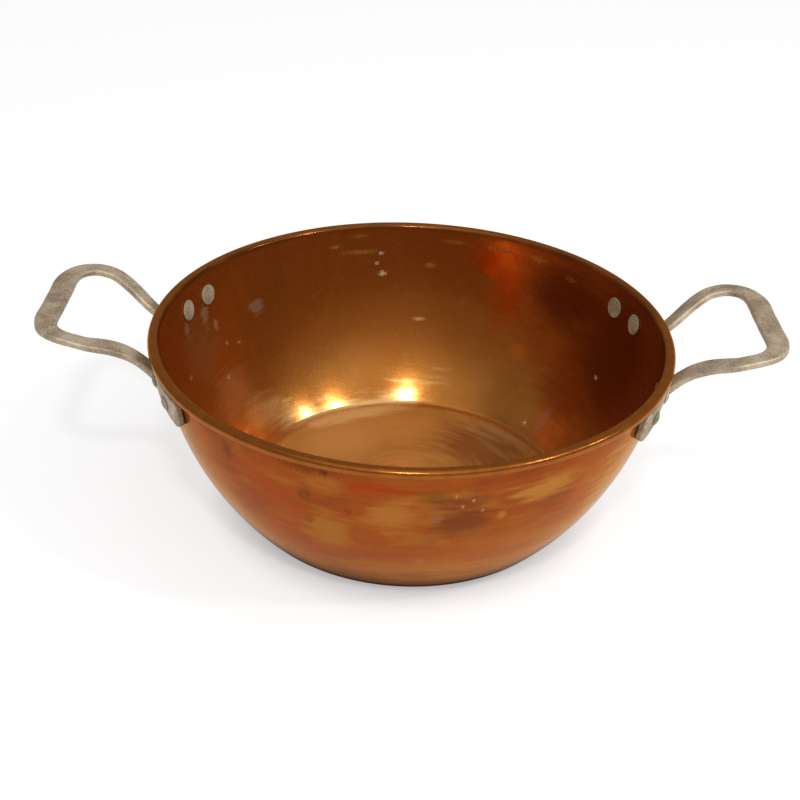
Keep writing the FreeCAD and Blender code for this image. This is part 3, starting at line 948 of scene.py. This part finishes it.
@dataclass
class WornPiece:
    """A cast or hammered piece: the solid's own shape with the soft, uneven edges of the real one.

    Attributes:
        node: The solid that it stands for.
        slot: The record's material slot; it is not used.
        voxel: Size of the cells that the shape is rebuilt from.
        passes: Smoothing passes, which round the edges and fill the inside corners a little.
        unevenness: How far the surface lies under the true one, at most.
        uneven_size: Size of the uneven areas.
        finish: Its metal.
        steps: How far a smoothing pass moves each point, there and back, so that nothing shrinks.
        flat_passes: Smoothing passes of the shape that edges are measured from.
        flat_step: How far each of those moves a point.
        full_edge: Height over that shape at which an edge counts in full, as a share of a cell.
    """

    node: str
    slot: str
    voxel: float
    passes: int
    unevenness: float
    uneven_size: float
    finish: WornAluminium
    steps: Pair = (0.5, -0.48)
    flat_passes: int = 10
    flat_step: float = 0.6
    full_edge: float = 0.5

    def rebuilt(self) -> bpy.types.Mesh:
        """Rebuild the solid's mesh from even cells.

        Returns:
            The new mesh.
        """
        source = bmesh.new()
        source.from_mesh(bpy.data.objects[self.node].data)
        bmesh.ops.remove_doubles(source, verts=source.verts, dist=SAME_POINT)
        joined = bpy.data.meshes.new(self.node + "_joined")
        source.to_mesh(joined)
        source.free()
        holder = placed(self.node + "_joined", joined)
        remesh = holder.modifiers.new("cells", "REMESH")
        remesh.mode = "VOXEL"
        remesh.voxel_size = self.voxel
        graph = bpy.context.evaluated_depsgraph_get()
        mesh = bpy.data.meshes.new_from_object(holder.evaluated_get(graph))
        bpy.data.objects.remove(holder)
        bpy.data.meshes.remove(joined)
        return mesh

    @staticmethod
    def smoothed(points: np.ndarray, pairs: np.ndarray, passes: int, steps: tuple[float, ...]) -> np.ndarray:
        """Move each point towards the middle of its neighbours, again and again.

        Args:
            points: The points, one a row.
            pairs: The mesh's edges, as rows of two point numbers.
            passes: How many times.
            steps: Shares of the way for each step of a pass.

        Returns:
            The smoothed points.
        """
        count = np.bincount(pairs.ravel(), minlength=len(points))[:, None]
        for _ in range(passes):
            for step in steps:
                total = np.zeros_like(points)
                for axis in range(3):
                    total[:, axis] = np.bincount(pairs[:, 0], points[pairs[:, 1], axis], len(points))
                    total[:, axis] += np.bincount(pairs[:, 1], points[pairs[:, 0], axis], len(points))
                points = points + (total / count - points) * step
        return points

    def build(self) -> bpy.types.Object:
        """Build the piece, dress it and put it in the solid's place.

        Returns:
            The finished piece.
        """
        low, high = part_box(self.node)
        mesh = self.rebuilt()
        points = np.empty(len(mesh.vertices) * 3)
        mesh.vertices.foreach_get("co", points)
        points = points.reshape(-1, 3)
        pairs = np.empty(len(mesh.edges) * 2, int)
        mesh.edges.foreach_get("vertices", pairs)
        pairs = pairs.reshape(-1, 2)
        points = self.smoothed(points, pairs, self.passes, self.steps)
        mesh.vertices.foreach_set("co", points.ravel())
        mesh.update()
        normals = np.empty(len(mesh.vertices) * 3)
        mesh.vertices.foreach_get("normal", normals)
        normals = normals.reshape(-1, 3)
        flattened = self.smoothed(points, pairs, self.flat_passes, (self.flat_step,))
        edge = ((points - flattened) * normals).sum(1) / (self.full_edge * self.voxel)
        waves = [0.5 + 0.5 * noise.noise(Vector(p) / self.uneven_size) for p in points]
        depth = self.unevenness * np.clip(waves, 0, 1)
        points = points - normals * depth[:, None]
        points = np.clip(points, np.array(low), np.array(high))
        mesh.vertices.foreach_set("co", points.ravel())
        mesh.attributes.new("edge", "FLOAT", "POINT").data.foreach_set("value", np.clip(edge, 0, 1))
        mesh.polygons.foreach_set("use_smooth", [True] * len(mesh.polygons))
        mesh.update()
        mesh.materials.clear()
        mesh.materials.append(self.finish.material())
        piece = placed(self.node + "_worn", mesh)
        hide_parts(self.node)
        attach(piece, BODY)
        return piece


@dataclass(frozen=True)
class Lamp:
    """A round studio lamp.

    Attributes:
        name: Its name.
        azimuth: Degrees round the basin, from +X towards +Y.
        elevation: Degrees above the floor.
        distance: From the middle of the basin.
        radius: Of its face.
        brightness: Of its face, where 1 is white.
    """

    name: str
    azimuth: float
    elevation: float
    distance: float
    radius: float
    brightness: float

    def build(self, aim: Vector) -> bpy.types.Object:
        """Hang the lamp and turn it to the basin.

        Args:
            aim: The point that it lights.

        Returns:
            The lamp.
        """
        out = direction(self.azimuth, self.elevation)
        data = bpy.data.lights.new(self.name, "AREA")
        data.shape = "DISK"
        data.size = 2 * self.radius
        data.energy = self.brightness * math.pi * (math.pi * self.radius**2)
        lamp = placed(self.name, data)
        lamp.location = aim + out * self.distance
        lamp.rotation_euler = out.to_track_quat("Z", "Y").to_euler()
        return lamp


@dataclass
class Studio:
    """The plain pale floor, the soft light and the camera.

    The floor glows for the camera and in reflections, with a painted shadow near the basin: its glow is less
    between the radii of painted_shadow_radii, and in reflections it shows only from those of
    painted_shadow_in_reflections on. Within hidden_radius it is clear, so that the base shows from below.
    The ceiling is brighter where the cosine to its brightest part is over ceiling_from.
    The camera's azimuth counts from -Y towards +X.
    """

    floor_size: float = 24.0
    floor_drop: float = 0.1 * MM
    floor_colour: str = "#BCBCBC"
    floor_roughness: float = 0.9
    floor_gloss: float = 0.2
    floor_glow: float = 0.66
    painted_shadow_radii: Pair = (92 * MM, 135 * MM)
    painted_shadow_glow: float = 0.5
    hidden_radius: float = 99 * MM
    painted_shadow_in_reflections: Pair = (104 * MM, 118 * MM)
    room_level: float = 0.36
    ceiling_level: float = 1.25
    ceiling_azimuth: float = -75
    ceiling_elevation: float = 66
    ceiling_from: float = 0.6
    lamps: tuple[Lamp, ...] = (
        Lamp("front_lamp", -88.9, 52.3, 1.8, 0.09, 80),
        Lamp("right_lamp", -26.1, 45.8, 1.8, 0.08, 80),
        Lamp("side_lamp", -4.4, 37, 1.8, 0.06, 80),
    )
    rim_level: float = 117.25 * MM
    camera_distance: float = 800 * MM
    camera_azimuth: float = -0.93
    camera_elevation: float = 28.05
    camera_roll: float = 2.29
    focal_pixels: float = 1301.4
    rim_centre_pixel: Pair = (411.96, 329.53)

    def paper(self) -> bpy.types.Material:
        """Build the floor's material: matt white paper, which shows nothing but the basin's soft shadow,
        partly cast and partly painted into its glow.

        Returns:
            The material.
        """
        made = bpy.data.materials.new("matt_white_paper")
        nodes = Nodes(made)
        paper = nodes.add(
            "BsdfPrincipled",
            inputs={
                "Base Color": linear(self.floor_colour),
                "Roughness": self.floor_roughness,
                "Specular IOR Level": self.floor_gloss,
            },
        )
        rays = nodes.add("LightPath").node.outputs
        seen = rays["Is Camera Ray"]
        for kind in ("Is Glossy Ray", "Is Transmission Ray"):
            seen = nodes.add("Math", {"operation": "MAXIMUM"}, {0: seen, 1: rays[kind]})
        distance = nodes.add("VectorMath", {"operation": "LENGTH"}, {0: nodes.place}, "Value")
        # Painted shadow: the glow is less near the basin, and in reflections it is left out near the base.
        glows = (self.painted_shadow_glow * self.floor_glow, self.floor_glow)
        glow = nodes.add("MapRange", SMOOTH, mapped(distance, self.painted_shadow_radii, glows))
        straight = nodes.add("Math", {"operation": "SUBTRACT"}, {0: 1.0, 1: rays["Is Glossy Ray"]})
        painted_shadow_in_reflections = nodes.add("MapRange", inputs=mapped(distance, self.painted_shadow_in_reflections, (straight, 1.0)))
        for share in (seen, painted_shadow_in_reflections):
            glow = nodes.add("Math", MULTIPLY, {0: share, 1: glow})
        glow = nodes.add("Emission", inputs={"Strength": glow})
        paper = nodes.add("AddShader", inputs={0: paper, 1: glow})
        clear = nodes.add("BsdfTransparent")
        below = nodes.add("NewGeometry", output="Backfacing")
        hidden = nodes.add("Math", {"operation": "LESS_THAN"}, {0: distance, 1: self.hidden_radius})
        see_through = nodes.add("Math", {"operation": "MAXIMUM"}, {0: below, 1: hidden})
        surface = nodes.add("MixShader", inputs={0: see_through, 1: paper, 2: clear})
        nodes.add("OutputMaterial", inputs={"Surface": surface})
        return made

    def floor(self) -> bpy.types.Object:
        """Lay the floor.

        Returns:
            The floor, which isn't part of the basin. Seen from below it is clear, to show the base.
        """
        half = self.floor_size / 2
        corners = [(-half, -half, 0), (half, -half, 0), (half, half, 0), (-half, half, 0)]
        mesh = bpy.data.meshes.new("studio_floor")
        mesh.from_pydata(corners, [], [(0, 1, 2, 3)])
        mesh.materials.append(self.paper())
        floor = placed("studio_floor", mesh)
        floor.location.z = -self.floor_drop
        return floor

    def world(self) -> None:
        """Fill the room with soft white light, brightest from one part of the ceiling.

        The camera sees it plain white.
        """
        world = bpy.data.worlds.new("studio_white")
        nodes = Nodes(world, "Generated")
        ceiling = direction(self.ceiling_azimuth, self.ceiling_elevation)
        near = nodes.add("VectorMath", {"operation": "DOT_PRODUCT"}, {0: nodes.place, 1: ceiling}, "Value")
        levels = (self.room_level, self.ceiling_level)
        level = nodes.add("MapRange", SMOOTH, mapped(near, (self.ceiling_from, 1.0), levels))
        seen = nodes.add("LightPath", output="Is Camera Ray")
        level = nodes.add("Mix", NUMBERS, {"Factor": seen, 2: level, 3: 1.0})
        background = nodes.add("Background", inputs={"Strength": level})
        nodes.add("OutputWorld", inputs={"Surface": background})
        bpy.context.scene.world = world

    def camera(self) -> bpy.types.Object:
        """Set up the camera so that the rim's centre falls where the photograph has it.

        Returns:
            The camera.
        """
        data = bpy.data.cameras.new("camera")
        data.sensor_width = 36.0
        data.lens = data.sensor_width * self.focal_pixels / IMAGE_SIZE
        camera = placed("camera", data)
        turn, rise = math.radians(self.camera_azimuth), math.radians(self.camera_elevation)
        back = Vector((math.sin(turn) * math.cos(rise), -math.cos(turn) * math.cos(rise), math.sin(rise)))
        target = Vector((0, 0, self.rim_level))
        right = Vector((math.cos(turn), math.sin(turn), 0))
        level = Matrix((right, back.cross(right), back)).transposed()
        half = IMAGE_SIZE / 2
        across, down = self.rim_centre_pixel
        aim = Vector(((across - half) / self.focal_pixels, (half - down) / self.focal_pixels, -1))
        swing = aim.rotation_difference(Vector((0, 0, -1))).to_matrix()
        roll = Matrix.Rotation(math.radians(self.camera_roll), 3, "Z")
        facing = level @ roll @ swing
        camera.matrix_world = Matrix.Translation(target + back * self.camera_distance) @ facing.to_4x4()
        bpy.context.scene.camera = camera
        return camera

    def build(self) -> None:
        """Set up the floor, the light and the camera."""
        scene = bpy.context.scene
        scene.view_settings.view_transform = "Standard"
        self.floor()
        self.world()
        self.camera()
        for lamp in self.lamps:
            lamp.build(Vector((0, 0, self.rim_level / 2)))


def main() -> None:
    """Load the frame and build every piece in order."""
    logging.basicConfig(level=logging.INFO, format="%(message)s")
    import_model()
    Studio().build()
    pieces = [SpunBowl().build()]
    for side in Side:
        handle = WornPiece(
            node=f"{side.value}_handle",
            slot="handle_metal",
            voxel=0.6 * MM,
            passes=6,
            unevenness=0.12 * MM,
            uneven_size=9 * MM,
            finish=WornAluminium(),
        )
        rivets = WornPiece(
            node=f"{side.value}_handle_rivets",
            slot="rivet_metal",
            voxel=0.25 * MM,
            passes=4,
            unevenness=0.1 * MM,
            uneven_size=3 * MM,
            finish=WornAluminium(
                name="chalky_aluminium_rivet",
                ground="#B4A88C",
                dark="#8E8268",
                pale="#CCC2AC",
                bright_edge="#BCB096",
                metal_share=0.35,
                roughness=0.6,
                edge_roughness=0.55,
                grime_reach=(90 * MM, 100 * MM),
            ),
        )
        pieces += [handle.build(), rivets.build()]
    for piece in pieces:
        log.info("%s: %d faces", piece.name, len(piece.data.polygons))


if __name__ == "__main__":
    main()
